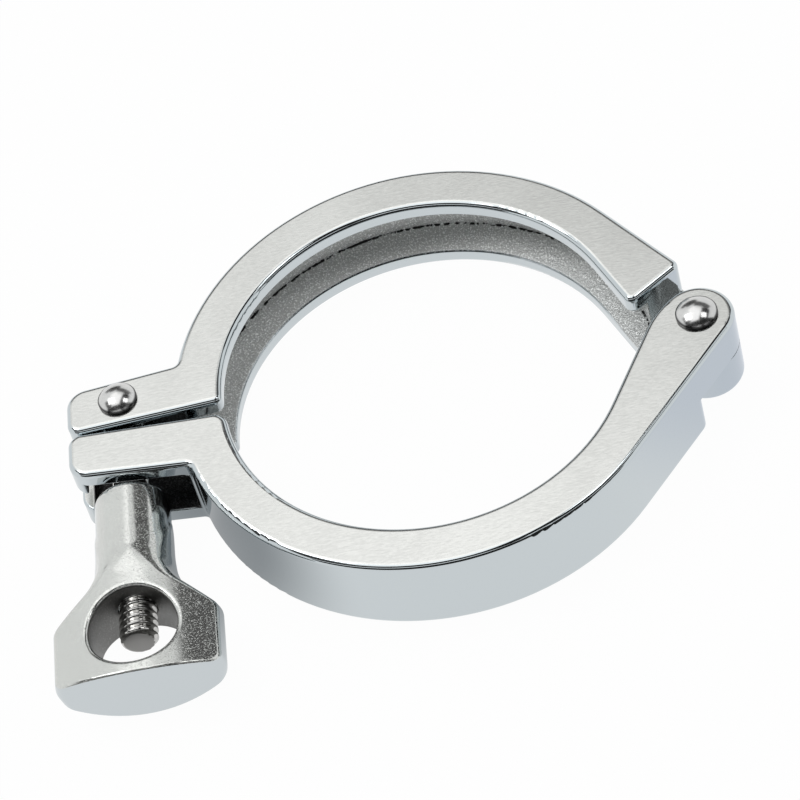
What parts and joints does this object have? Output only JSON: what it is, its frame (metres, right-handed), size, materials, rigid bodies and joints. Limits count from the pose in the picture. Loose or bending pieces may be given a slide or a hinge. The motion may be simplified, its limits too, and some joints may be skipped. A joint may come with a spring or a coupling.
{
  "type": "sanitary hinged clamp",
  "caption": "Hinged ring clamp that squeezes a pair of flanged tube ends together, with a swinging eye bolt and a wing nut across its lugs.",
  "frame": {"origin": "on the axis of the rear half's ring, half way up the clamp, where the ferrules meet", "axes": "+Z along the tube, +X from the bolt towards the hinge, +Y from the bolt's end towards its pivot"},
  "size_m": [0.1474, 0.1173, 0.0215],
  "materials": {
    "ring_steel": "satin stainless steel with polished edges and a rough cast groove",
    "rivet_steel": "polished stainless steel",
    "bolt_steel": "machined stainless steel",
    "nut_steel": "polished cast stainless steel"
  },
  "bodies": {
    "rear_body": {"rear_clamp_half": "ring_steel", "hinge_rivet": "rivet_steel", "bolt_pivot_rivet": "rivet_steel"},
    "front_body": {"front_clamp_half": "ring_steel"},
    "bolt_body": {"eye_bolt": "bolt_steel"},
    "nut_body": {"wing_nut": "nut_steel"}
  },
  "joints": [
    {"name": "clamp_hinge", "type": "hinge", "parent": "rear_body", "child": "front_body", "pos_m": [0.0579, -0.0027, 0], "axis": [0, 0, 1], "range_deg": [0, 10]},
    {"name": "bolt_swing", "type": "hinge", "parent": "rear_body", "child": "bolt_body", "pos_m": [-0.0642, 0.0042, 0], "axis": [0, 0, -1], "range_deg": [0, 150]},
    {"name": "nut_travel", "type": "slide", "parent": "bolt_body", "child": "nut_body", "axis": [0, -1, 0], "range_m": [0, 0.0245]}
  ],
  "couplings": [
    {"joint": "nut_travel", "follows": "clamp_hinge", "m_per_rad": 0.14}
  ]
}
